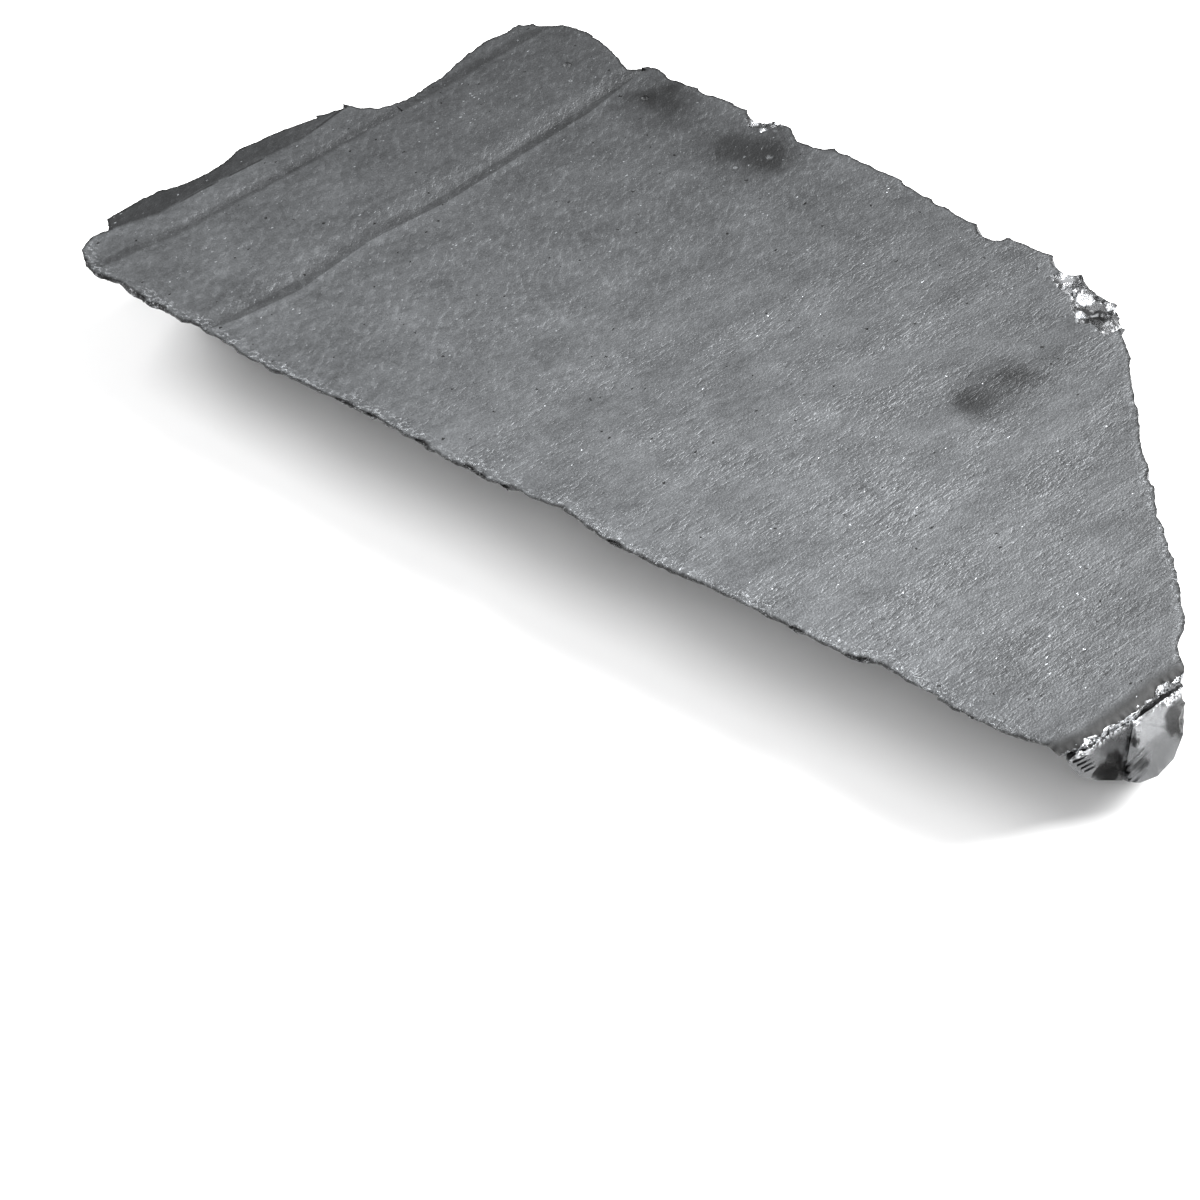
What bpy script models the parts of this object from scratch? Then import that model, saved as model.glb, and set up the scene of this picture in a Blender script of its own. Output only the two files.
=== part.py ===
# A slab of raw silicon, broken off a cast ingot: one sawn face on top, glassy broken
# sides that slope in under a thin ragged rim, and a flat cast face to rest on.
# Sizes are in millimetres here and become metres where a mesh is made.
import math
import random

import bmesh
import bpy
from mathutils import Matrix, Vector

MM = 0.001

# Driving dimensions
THICKNESS = 12.0
RIM = 0.4               # height of the thin edge left above the broken walls
WAIST_HEIGHT = 7.5      # the walls are hollow: this far up they are already well in
WAIST_SHARE = 0.47      # share of the way in that the waist has gone
NICK_STEP = 1.15        # spacing of the small nicks along the rim
NICK_DEPTH = 0.17       # how far a nick strays from the outline
SAW_CUTTER_WIDTH = 20.0
FLAT_BREAK_REACH = 14.0
FLAT_BREAK_HEIGHT = 50.0
SHELL_ROUNDNESS = 3.0   # radius of a shell-shaped break, in depths of the hollow
SHELL_SEGMENTS = 30
SLIVER = 0.01           # slivers and gaps finer than this are closed up
FLAT_ANGLE = 1.2        # degrees; facets that turn less than this are one flat face
SEED = 21

SLAB_COLOUR = (0.26, 0.27, 0.285, 1.0)
SLAB_ROUGHNESS = 0.38
SLAB_METALLIC = 0.75

# The rim of the sawn face seen from above, clockwise from the left tip, in stretches
# that each end at a corner of the cast face below: (corner of the cast face, rim points).
STRETCHES = [
    ((-56.5, -20.5), [(-63.0, -30.5), (-63.5, -28.0), (-63.0, -26.5), (-65.0, -24.5)]),
    ((-60.0, -15.0), [(-64.5, -19.5), (-63.0, -14.0), (-62.0, -9.0), (-61.0, -4.0), (-59.5, 0.5)]),
    ((-54.0, 1.5), [(-58.5, 3.5), (-56.5, 6.5), (-54.5, 7.0), (-53.0, 8.5), (-51.5, 10.5)]),
    ((-48.0, 12.5), [(-51.0, 13.5), (-50.5, 17.0), (-51.0, 21.0), (-51.0, 24.5), (-50.0, 28.5)]),
    ((-46.5, 27.0), [(-49.7, 31.5), (-48.0, 31.6), (-45.5, 33.4)]),
    ((-40.0, 29.5), [(-42.5, 34.0), (-39.5, 33.3), (-36.5, 32.0)]),
    ((-31.0, 28.0), [(-34.5, 31.0), (-32.0, 33.0), (-29.5, 32.5), (-23.5, 32.5)]),
    ((-17.0, 30.5), [(-18.5, 32.5), (-13.0, 32.5), (-11.0, 31.0), (-8.0, 31.5), (-7.0, 32.5),
                     (-4.5, 32.0)]),
    ((0.0, 27.0), [(2.0, 32.0), (5.5, 31.0), (9.0, 30.5), (12.0, 31.0)]),
    ((15.0, 27.0), [(15.0, 29.0), (17.0, 30.0), (23.5, 30.3), (28.3, 29.6)]),
    ((29.5, 24.0), [(31.8, 29.0), (34.0, 25.8), (37.5, 20.5), (42.0, 14.0)]),
    ((41.5, 8.0), [(45.5, 9.5), (50.5, 3.0), (51.5, 1.0)]),
    ((51.0, -1.5), [(53.0, 0.0), (56.5, -4.0)]),
    ((59.5, -9.0), [(61.0, -10.0), (62.0, -13.5)]),
    ((63.4, -15.5), [(64.5, -16.5), (63.5, -19.0), (63.0, -23.0), (62.0, -26.5), (61.5, -29.0)]),
    ((61.4, -20.0), [(60.0, -32.0), (58.5, -32.0), (56.0, -32.5), (51.0, -33.0), (43.5, -32.5)]),
    ((38.0, -21.5), [(40.5, -32.0), (37.5, -33.0), (30.0, -33.0)]),
    ((20.0, -20.0), [(20.5, -33.0), (16.0, -33.5), (8.0, -33.5), (3.0, -32.5)]),
    ((-2.0, -21.5), [(-1.0, -33.5), (-11.0, -33.5), (-18.5, -33.0)]),
    ((-24.0, -20.0), [(-24.0, -33.0), (-35.0, -33.5), (-41.5, -33.0)]),
    ((-44.0, -21.0), [(-44.5, -32.5), (-46.5, -33.0), (-52.0, -33.0), (-56.0, -32.5),
                      (-58.5, -33.0), (-61.0, -32.0)]),
]

# Steps left by the saw: from, to, depth, and the fall of the floor away to the left.
SAW_STEPS = [
    ((-62.9, -26.6), (-59.2, -14.0), 0.55, 3.5),
    ((-59.7, -16.5), (-56.0, 6.3), 0.55, 3.5),
    ((-57.6, -26.5), (-50.3, 9.5), 0.22, -9.0),
    ((-43.4, -33.0), (-38.6, -10.5), 0.34, -8.5),
    ((-39.0, -13.0), (-32.6, 32.0), 0.34, -8.5),
]

# Flat breaks: a point on the break, its heading and lean in degrees, its width.
FLAT_BREAKS = [
    ((-48.0, -29.0, 7.0), -94.0, 47.0, 17.0), ((-19.0, -29.0, 7.0), -86.0, 49.0, 15.0),
    ((7.0, -28.6, 7.0), -95.0, 46.0, 19.0), ((36.0, -28.2, 7.0), -84.0, 47.0, 21.0),
    ((-61.6, -21.0, 6.0), 174.0, 31.0, 13.0), ((-57.7, -3.2, 6.0), 156.0, 28.0, 12.0),
    ((-37.0, 31.0, 5.0), 84.0, 17.0, 9.0), ((-13.0, 31.0, 5.0), 95.0, 16.0, 15.0),
    ((22.0, 27.6, 5.0), 78.0, 22.0, 13.0), ((37.6, 18.4, 6.0), 44.0, 14.0, 13.0),
    ((57.4, -6.2, 6.0), 28.0, 12.0, 10.0),
]

# Shell-shaped breaks: a point on the wall, heading and lean, half length, half height, depth.
SHELL_BREAKS = [
    ((-34.0, -28.0, 6.6), -90.0, 46.0, 9.0, 7.0, 1.5), ((-6.0, -28.6, 7.2), -92.0, 46.0, 8.0, 5.0, 1.2),
    ((22.0, -27.4, 6.2), -89.0, 46.0, 9.5, 7.5, 1.6), ((50.0, -28.2, 7.2), -88.0, 44.0, 7.0, 6.0, 1.3),
    ((-61.6, -12.5, 8.5), 166.0, 16.0, 6.0, 5.0, 1.1), ((-51.8, 11.0, 6.0), 142.0, 24.0, 7.0, 7.5, 1.9),
    ((-49.3, 22.5, 5.0), 178.0, 14.0, 6.0, 6.5, 1.2), ((-45.0, 31.2, 5.5), 118.0, 20.0, 5.0, 6.0, 1.2),
    ((-27.5, 31.6, 7.5), 92.0, 14.0, 7.0, 5.0, 1.3), ((-2.0, 30.2, 6.0), 88.0, 22.0, 8.0, 7.0, 1.5),
    ((12.0, 29.2, 7.0), 90.0, 14.0, 5.0, 6.0, 1.2), ((29.5, 26.4, 6.0), 66.0, 18.0, 5.0, 7.0, 1.3),
    ((44.5, 9.3, 6.5), 36.0, 10.0, 7.0, 6.5, 1.4), ((52.2, -0.8, 5.0), 44.0, 8.0, 5.0, 6.0, 1.0),
    ((61.8, -12.0, 8.5), 30.0, 6.0, 4.0, 4.5, 0.8),
]

# The thick corner, where the wall stands upright: two chunks, one stepped back from the
# other, each given by the corners of its flat broken faces, its foot and its root.
CHUNKS = [
    [
        (63.0, -23.3, 11.1), (63.7, -19.1, 11.3), (64.7, -16.7, 11.3), (65.5, -16.9, 9.6),
        (65.9, -17.4, 8.4), (66.2, -18.6, 6.6), (66.3, -20.0, 4.6), (66.0, -22.5, 4.2),
        (65.0, -24.1, 4.0), (64.3, -25.2, 4.6), (63.8, -25.3, 7.1), (64.3, -24.2, 8.1),
        (60.5, -21.5, 0.0), (62.2, -20.4, 0.0), (63.6, -16.2, 0.0),
        (58.5, -20.0, 10.0), (58.0, -14.0, 9.0), (59.0, -14.0, 2.0),
    ],
    [
        (60.4, -31.5, 11.0), (61.3, -29.8, 11.2), (62.1, -26.2, 11.0), (62.8, -23.6, 10.7),
        (60.9, -31.1, 9.6), (61.5, -30.3, 8.2), (62.4, -28.1, 6.2), (63.8, -25.6, 4.9),
        (61.8, -28.3, 9.2), (63.3, -25.1, 7.6), (63.0, -24.3, 9.4), (61.9, -27.5, 10.4),
        (57.8, -21.5, 0.0), (59.6, -22.2, 0.0), (61.5, -21.0, 0.0),
        (58.0, -25.0, 10.5), (57.0, -21.0, 5.0), (60.0, -20.0, 8.0),
    ],
]
CORNER_SHELLS = [
    ((63.2, -26.8, 7.0), -50.0, 6.0, 2.0, 1.8, 0.8), ((65.7, -17.8, 9.2), 16.0, 12.0, 1.9, 1.9, 0.4),
    ((66.1, -21.9, 5.4), -14.0, 4.0, 0.9, 1.4, 0.45), ((61.4, -28.6, 12.0), -24.0, -38.0, 1.3, 0.9, 0.4),
    ((62.2, -26.3, 12.0), -18.0, -40.0, 1.5, 0.9, 0.45), ((62.9, -24.0, 12.0), -12.0, -36.0, 1.2, 0.8, 0.35),
    ((64.4, -17.6, 12.0), -4.0, -42.0, 1.6, 1.5, 0.6),
]
CORNER_SHELL_SEGMENTS = 10
BAR_COUNT = 4           # slanting ledges on the corner, between the dark and light faces
BAR_START = (64.8, -24.6, 4.6)
BAR_SPACING = (-0.11, 0.07, 0.95)
BAR_SIZE = (0.8, 3.0, 0.45)
BAR_HEADING = -28.0
BAR_ROLL = 35.0
TOOTH_COUNT = 5         # small stacked ribs at the near end of the corner
TOOTH_START = (61.2, -30.4, 10.9)
TOOTH_SPACING = (0.02, 0.28, -0.6)
TOOTH_SIZE = (1.2, 2.2, 0.28)
TOOTH_HEADING = -68.0

# Chips out of the top edge: (x, y), heading, half length, half height, depth.
CHIPS = [
    ((29.4, 28.8), 68.0, 3.6, 2.2, 1.0), ((33.4, 26.0), 34.0, 2.0, 2.0, 0.8),
    ((24.6, 29.3), 84.0, 1.8, 1.3, 0.7), ((-17.0, 32.3), 92.0, 1.7, 1.5, 0.8),
    ((-55.5, -32.8), -92.0, 4.2, 1.2, 0.6), ((-50.0, -33.0), -88.0, 1.6, 0.9, 0.5),
    ((-49.4, 31.2), 130.0, 1.4, 1.0, 0.4), ((14.8, 29.4), 80.0, 1.6, 1.2, 0.6),
]
CHIP_LEAN = -42.0
SMALL_CHIP_COUNT = 38
SMALL_CHIP_SIZE = (0.55, 1.25)
SMALL_CHIP_TURN = 20.0
SMALL_CHIP_HEIGHT = 0.7     # as a share of the half length
SMALL_CHIP_DEPTH = 0.35     # the same
SMALL_CHIP_SEGMENTS = 12
PITS = [((-40.4, 27.4), 0.55), ((-29.5, 27.5), 0.5), ((-11.9, 26.8), 0.4), ((12.0, 4.0), 0.3)]
PIT_RISE = 0.35             # the ball's centre stands above the face by this share of its radius


def clear_scene():
    for obj in list(bpy.data.objects):
        bpy.data.objects.remove(obj, do_unlink=True)


def new_collection(name):
    group = bpy.data.collections.new(name)
    bpy.context.scene.collection.children.link(group)
    return group


def silicon_material():
    material = bpy.data.materials.new("silicon")
    material.use_nodes = True
    shader = material.node_tree.nodes["Principled BSDF"]
    shader.inputs["Base Color"].default_value = SLAB_COLOUR
    shader.inputs["Roughness"].default_value = SLAB_ROUGHNESS
    shader.inputs["Metallic"].default_value = SLAB_METALLIC
    material.diffuse_color = SLAB_COLOUR
    return material


def rings(rng):
    # the ragged rim, and for each of its points the place below it on the cast face
    rim = []
    base = []
    for index, (foot, corners) in enumerate(STRETCHES):
        next_foot, next_corners = STRETCHES[(index + 1) % len(STRETCHES)]
        line = [Vector(point) for point in corners + next_corners[:1]]
        total = sum((b - a).length for a, b in zip(line, line[1:]))
        gone = 0.0
        for a, b in zip(line, line[1:]):
            along = b - a
            across = Vector((-along.y, along.x)).normalized()
            count = max(1, round(along.length / NICK_STEP))
            for k in range(count):
                share = k / count
                rim.append(a + along * share + across * rng.uniform(-NICK_DEPTH, NICK_DEPTH))
                base.append(Vector(foot).lerp(Vector(next_foot), (gone + along.length * share) / total))
            gone += along.length
    return rim, base


def lofted_slab(rim, base, group):
    # a loft, because the ragged rim and the plain cast face are unlike sections
    waist = [a.lerp(b, WAIST_SHARE) for a, b in zip(rim, base)]
    sections = [(rim, THICKNESS), (rim, THICKNESS - RIM), (waist, WAIST_HEIGHT), (base, 0.0)]
    shape = bmesh.new()
    loops = [[shape.verts.new((p.x * MM, p.y * MM, z * MM)) for p in ring] for ring, z in sections]
    shape.faces.new(loops[0])
    shape.faces.new(loops[-1])
    for upper, lower in zip(loops, loops[1:]):
        for k in range(len(upper)):
            after = (k + 1) % len(upper)
            shape.faces.new((upper[k], upper[after], lower[after], lower[k]))
    bmesh.ops.recalc_face_normals(shape, faces=shape.faces)
    mesh = bpy.data.meshes.new("silicon_slab")
    shape.to_mesh(mesh)
    shape.free()
    slab = bpy.data.objects.new("silicon_slab", mesh)
    group.objects.link(slab)
    return slab


def cutter(name, shape, matrix, group):
    mesh = bpy.data.meshes.new(name)
    shape.to_mesh(mesh)
    shape.free()
    tool = bpy.data.objects.new(name, mesh)
    tool.matrix_world = matrix
    tool.hide_render = True
    tool.display_type = "WIRE"
    group.objects.link(tool)


def block(name, size, matrix, group):
    shape = bmesh.new()
    bmesh.ops.create_cube(shape, size=MM, matrix=Matrix.Diagonal((*size, 1.0)))
    cutter(name, shape, matrix, group)


def facing(place, heading, lean):
    # a frame at the place whose +X points out of the wall and whose +Y runs along it
    turn = Matrix.Rotation(math.radians(heading), 4, "Z") @ Matrix.Rotation(math.radians(lean), 4, "Y")
    return Matrix.Translation(Vector(place) * MM) @ turn


def flat_break(name, place, heading, lean, width, group):
    size = (FLAT_BREAK_REACH, width, FLAT_BREAK_HEIGHT)
    outward = Matrix.Translation((FLAT_BREAK_REACH / 2 * MM, 0.0, 0.0))
    block(name, size, facing(place, heading, lean) @ outward, group)


def shell_break(name, place, heading, lean, half_length, half_height, depth, segments, group):
    # a flattened ball set so far out that it leaves a hollow of the given size and depth
    radius = depth * SHELL_ROUNDNESS
    spread = math.sqrt(1.0 - ((radius - depth) / radius) ** 2)
    shape = bmesh.new()
    stretch = Matrix.Diagonal((radius, half_length / spread, half_height / spread, 1.0))
    bmesh.ops.create_uvsphere(
        shape, u_segments=segments, v_segments=segments // 2, radius=MM, matrix=stretch)
    outward = Matrix.Translation(((radius - depth) * MM, 0.0, 0.0))
    cutter(name, shape, facing(place, heading, lean) @ outward, group)


def saw_step(name, start, end, depth, fall, group):
    # a block along the step whose floor starts depth down and falls, or rises, to the left
    a = Vector(start)
    b = Vector(end)
    along = b - a
    middle = (a + b) / 2
    frame = Matrix.Translation(Vector((middle.x, middle.y, THICKNESS - depth)) * MM)
    turn = Matrix.Rotation(math.atan2(along.y, along.x), 4, "Z")
    slope = Matrix.Rotation(math.radians(-fall), 4, "X")
    size = (along.length, SAW_CUTTER_WIDTH, SAW_CUTTER_WIDTH)
    inner_edge = Matrix.Translation(Vector((0.0, size[1] / 2, size[2] / 2)) * MM)
    block(name, size, frame @ turn @ slope @ inner_edge, group)


def chunk(name, corners, group):
    # the hull of the chunk's corners, which leaves flat faces between them
    shape = bmesh.new()
    for corner in corners:
        shape.verts.new(Vector(corner) * MM)
    hull = bmesh.ops.convex_hull(shape, input=shape.verts)
    inside = [item for item in hull["geom_interior"] if isinstance(item, bmesh.types.BMVert)]
    bmesh.ops.delete(shape, geom=inside, context="VERTS")
    cutter(name, shape, Matrix.Identity(4), group)


def row_of_blocks(name, count, start, spacing, size, heading, roll, group):
    for k in range(count):
        place = Vector(start) + Vector(spacing) * k
        tilt = Matrix.Rotation(math.radians(roll), 4, "X")
        block("%s_%d" % (name, k), size, facing(place, heading, 0.0) @ tilt, group)


def chips(rim, rng, group):
    for index, ((x, y), heading, half_length, half_height, depth) in enumerate(CHIPS):
        shell_break("chip_%02d" % index, (x, y, THICKNESS), heading, CHIP_LEAN,
                    half_length, half_height, depth, SHELL_SEGMENTS, group)
    for index in range(SMALL_CHIP_COUNT):
        at = rng.randrange(len(rim))
        a = rim[at]
        along = rim[(at + 2) % len(rim)] - rim[at - 2]
        heading = math.degrees(math.atan2(along.x, -along.y)) 
        heading += rng.uniform(-SMALL_CHIP_TURN, SMALL_CHIP_TURN)
        size = rng.uniform(*SMALL_CHIP_SIZE)
        shell_break("small_chip_%02d" % index, (a.x, a.y, THICKNESS), heading, CHIP_LEAN,
                    size, size * SMALL_CHIP_HEIGHT, size * SMALL_CHIP_DEPTH, SMALL_CHIP_SEGMENTS, group)


def pits(group):
    for index, ((x, y), radius) in enumerate(PITS):
        shape = bmesh.new()
        bmesh.ops.create_icosphere(shape, subdivisions=2, radius=radius * MM)
        place = Vector((x, y, THICKNESS + radius * PIT_RISE)) * MM
        cutter("pit_%d" % index, shape, Matrix.Translation(place), group)


def combine(slab, group, operation):
    modifier = slab.modifiers.new(group.name, "BOOLEAN")
    modifier.operation = operation
    modifier.solver = "EXACT"
    modifier.operand_type = "COLLECTION"
    modifier.collection = group


def finish(slab):
    # the breaks made real, slivers closed up, and the middle of the cast face at the origin
    depsgraph = bpy.context.evaluated_depsgraph_get()
    mesh = bpy.data.meshes.new_from_object(slab.evaluated_get(depsgraph))
    slab.modifiers.clear()
    shape = bmesh.new()
    shape.from_mesh(mesh)
    bmesh.ops.remove_doubles(shape, verts=shape.verts, dist=SLIVER * MM)
    bmesh.ops.dissolve_degenerate(shape, edges=shape.edges, dist=SLIVER * MM)
    bmesh.ops.dissolve_limit(
        shape, angle_limit=math.radians(FLAT_ANGLE), verts=shape.verts, edges=shape.edges)
    bmesh.ops.triangulate(shape, faces=shape.faces)
    loose = [edge for edge in shape.edges if not edge.link_faces]
    bmesh.ops.delete(shape, geom=loose, context="EDGES")
    for side in (0, 1):
        low = min(vertex.co[side] for vertex in shape.verts)
        high = max(vertex.co[side] for vertex in shape.verts)
        for vertex in shape.verts:
            vertex.co[side] -= (low + high) / 2
    bmesh.ops.recalc_face_normals(shape, faces=shape.faces)
    shape.to_mesh(mesh)
    shape.free()
    slab.data = mesh


def build():
    clear_scene()
    rng = random.Random(SEED)
    rim, base = rings(rng)
    slab = lofted_slab(rim, base, new_collection("raw_silicon"))

    added = new_collection("added_chunks")
    for index, corners in enumerate(CHUNKS):
        chunk("chunk_%d" % index, corners, added)
    combine(slab, added, "UNION")

    breaks = new_collection("breaks")
    for index, values in enumerate(FLAT_BREAKS):
        flat_break("flat_%02d" % index, *values, breaks)
    for index, values in enumerate(SHELL_BREAKS):
        shell_break("shell_%02d" % index, *values, SHELL_SEGMENTS, breaks)
    for index, values in enumerate(CORNER_SHELLS):
        shell_break("corner_shell_%d" % index, *values, CORNER_SHELL_SEGMENTS, breaks)
    row_of_blocks("bar", BAR_COUNT, BAR_START, BAR_SPACING, BAR_SIZE, BAR_HEADING, BAR_ROLL, breaks)
    row_of_blocks("tooth", TOOTH_COUNT, TOOTH_START, TOOTH_SPACING, TOOTH_SIZE, TOOTH_HEADING, 0.0, breaks)
    chips(rim, rng, breaks)
    pits(breaks)
    for index, values in enumerate(SAW_STEPS):
        saw_step("saw_step_%d" % index, *values, breaks)
    combine(slab, breaks, "DIFFERENCE")

    finish(slab)
    slab.data.materials.append(silicon_material())


build()
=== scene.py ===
# Looks for the slab of raw silicon: a fine broken skin over the plain solid, and its metal-grey finish.
# The skin is one mesh. Lengths in the dictionaries are millimetres in the slab's own frame.
import math
import bmesh
import bpy
import numpy as np
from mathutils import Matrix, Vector, noise
from mathutils.geometry import delaunay_2d_cdt
from mathutils.kdtree import KDTree


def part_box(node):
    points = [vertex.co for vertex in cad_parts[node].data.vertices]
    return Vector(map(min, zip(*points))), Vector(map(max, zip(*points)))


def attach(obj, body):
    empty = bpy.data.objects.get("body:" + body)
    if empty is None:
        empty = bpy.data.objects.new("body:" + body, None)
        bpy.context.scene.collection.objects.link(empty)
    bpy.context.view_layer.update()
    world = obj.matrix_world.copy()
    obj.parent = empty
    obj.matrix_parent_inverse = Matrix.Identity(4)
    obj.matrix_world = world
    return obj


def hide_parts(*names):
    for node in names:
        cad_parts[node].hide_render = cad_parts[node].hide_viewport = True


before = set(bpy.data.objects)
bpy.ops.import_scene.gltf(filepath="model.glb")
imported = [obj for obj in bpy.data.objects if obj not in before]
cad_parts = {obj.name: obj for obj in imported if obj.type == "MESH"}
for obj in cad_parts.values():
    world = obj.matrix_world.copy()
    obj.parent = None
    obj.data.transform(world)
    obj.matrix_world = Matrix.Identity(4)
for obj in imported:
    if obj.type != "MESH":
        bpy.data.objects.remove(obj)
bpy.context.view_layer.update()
mm = 0.001
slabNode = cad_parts["silicon_slab"]
slabLow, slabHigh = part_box("silicon_slab")
topHeight = slabHigh.z / mm


# Skin: the solid's own faces, each cut into small triangles

skinSettings = {
    "weld": 0.002,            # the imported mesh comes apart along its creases, this joins it
    "samePlane": 0.5,         # degrees between triangles of one flat face
    "edgeStep": 0.32,         # spacing of points along the edges
    "topStep": 0.46,          # spacing on the sawn face
    "rimBand": 1.8,           # a band along the rim of the sawn face is finer
    "rimStep": 0.27,
    "wallStep": 0.5,          # spacing on the broken walls
    "baseStep": 2.5,          # spacing on the cast face below
    "cornerStep": 0.26,       # spacing on the facets of the thick corner
    "insideEdge": 0.55,       # points keep this share of the spacing away from an edge
    "jitter": 0.12,
    "fineSpots": [((28.9, 25.2), 4.4), ((-16.9, 31.3), 2.4), ((-41.0, 27.2), 1.2),
                  ((-30.2, 27.4), 1.2), ((-12.6, 26.6), 1.2)],    # the chips and the pits
    "cornerFrom": (58.0, -14.0),    # the thick corner lies beyond this x and below this y
    "topTilt": 0.95,          # least upward share of the sawn face's normal
    "topDepth": 1.0,          # how far below the top the sawn face still counts as one
    "baseTilt": -0.99,
    "baseHeight": 0.05,
    "joinWithin": 1e-7,
    "seed": 7,
    "noiseSeed": 7,           # without it the noise changes from run to run
}

finishOf = {"topStep": 0, "wallStep": 1, "baseStep": 2}    # sawn, broken and cast


def weldedSolid():
    solid = bmesh.new()
    solid.from_mesh(slabNode.data)
    bmesh.ops.remove_doubles(solid, verts=solid.verts, dist=skinSettings["weld"] * mm)
    bmesh.ops.recalc_face_normals(solid, faces=solid.faces)
    solid.normal_update()
    return solid


def flatPatches(solid):
    # triangles that share a plane and touch belong to one patch
    solid.faces.ensure_lookup_table()
    limit = math.cos(math.radians(skinSettings["samePlane"]))
    seen = set()
    patches = []
    for first in sorted(solid.faces, key=lambda face: -face.calc_area()):
        if first.index in seen:
            continue
        seen.add(first.index)
        patch = [first]
        queue = [first]
        while queue:
            face = queue.pop()
            for edge in face.edges:
                for other in edge.link_faces:
                    if other.index not in seen and other.normal.dot(first.normal) > limit:
                        seen.add(other.index)
                        patch.append(other)
                        queue.append(other)
        patches.append((first.normal.copy(), patch))
    return patches


def patchStep(normal, height):
    if normal.z > skinSettings["topTilt"] and height > topHeight - skinSettings["topDepth"]:
        return "topStep"
    if normal.z < skinSettings["baseTilt"] and height < skinSettings["baseHeight"]:
        return "baseStep"
    return "wallStep"


def edgePoints(solid, patchOf, kinds):
    # points along every edge between two patches, shared by both; the rim gets a finer step
    points = [vertex.co / mm for vertex in solid.verts]
    along = {}
    for edge in solid.edges:
        owners = [patchOf[face.index] for face in edge.link_faces]
        if owners[0] == owners[1]:
            continue
        names = {kinds[owner] for owner in owners}
        step = skinSettings["edgeStep"]
        if names == {"wallStep"}:
            step = skinSettings["wallStep"]
        if "topStep" in names:
            step = skinSettings["rimStep"]
        a, b = edge.verts
        count = max(1, math.ceil(edge.calc_length() / mm / step))
        chain = [a.index]
        for k in range(1, count):
            chain.append(len(points))
            points.append((a.co.lerp(b.co, k / count)) / mm)
        chain.append(b.index)
        along[edge.index] = chain
    return points, along


def hexPoints(low, high, step, rng):
    # a jittered hexagonal grid over a box
    rise = step * math.sqrt(3) / 2
    rows = int((high[1] - low[1]) / rise) + 2
    columns = int((high[0] - low[0]) / step) + 2
    row, column = np.mgrid[0:rows, 0:columns]
    x = low[0] + (column + 0.5 * (row % 2)) * step
    y = low[1] + row * rise
    grid = np.stack([x.ravel(), y.ravel()], axis=1)
    return grid + rng.uniform(-1, 1, grid.shape) * skinSettings["jitter"] * step


def insideMask(places, starts, ends):
    # even-odd test of many places against the border pieces
    crossings = np.zeros(len(places), int)
    for a, b in zip(starts, ends):
        if a[1] == b[1]:
            continue
        low, high = (a, b) if a[1] < b[1] else (b, a)
        band = (places[:, 1] >= low[1]) & (places[:, 1] < high[1])
        if not band.any():
            continue
        share = (places[band, 1] - low[1]) / (high[1] - low[1])
        crossings[band] += (low[0] + share * (high[0] - low[0])) > places[band, 0]
    return crossings % 2 == 1


def borderDistance(places, starts, ends, limit):
    # distance to the nearest border piece, up to the limit
    best = np.full(len(places), limit)
    for a, b in zip(starts, ends):
        low = np.minimum(a, b) - limit
        high = np.maximum(a, b) + limit
        near = np.flatnonzero(((places > low) & (places < high)).all(axis=1))
        if not len(near):
            continue
        along = b - a
        share = np.clip(((places[near] - a) @ along) / max(along @ along, 1e-12), 0, 1)
        gap = np.linalg.norm(places[near] - (a + share[:, None] * along), axis=1)
        best[near] = np.minimum(best[near], gap)
    return best


def insideBorder(triangles, walls):
    # flood from outside; each border line that is crossed turns outside to inside or back
    sides = [[frozenset(pair) for pair in zip(t, t[1:] + t[:1])] for t in triangles]
    owners = {}
    for k, pairs in enumerate(sides):
        for pair in pairs:
            owners.setdefault(pair, []).append(k)
    state = [None] * len(triangles)
    queue = []
    for pair, found in owners.items():
        if len(found) == 1 and state[found[0]] is None:
            state[found[0]] = pair in walls
            queue.append(found[0])
    while queue:
        k = queue.pop()
        for pair in sides[k]:
            for other in owners[pair]:
                if state[other] is None:
                    state[other] = state[k] != (pair in walls)
                    queue.append(other)
    return state


def atFineSpot(places):
    found = np.zeros(len(places), bool)
    for centre, radius in skinSettings["fineSpots"]:
        found |= np.linalg.norm(places - np.array(centre), axis=1) < radius
    return found


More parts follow.
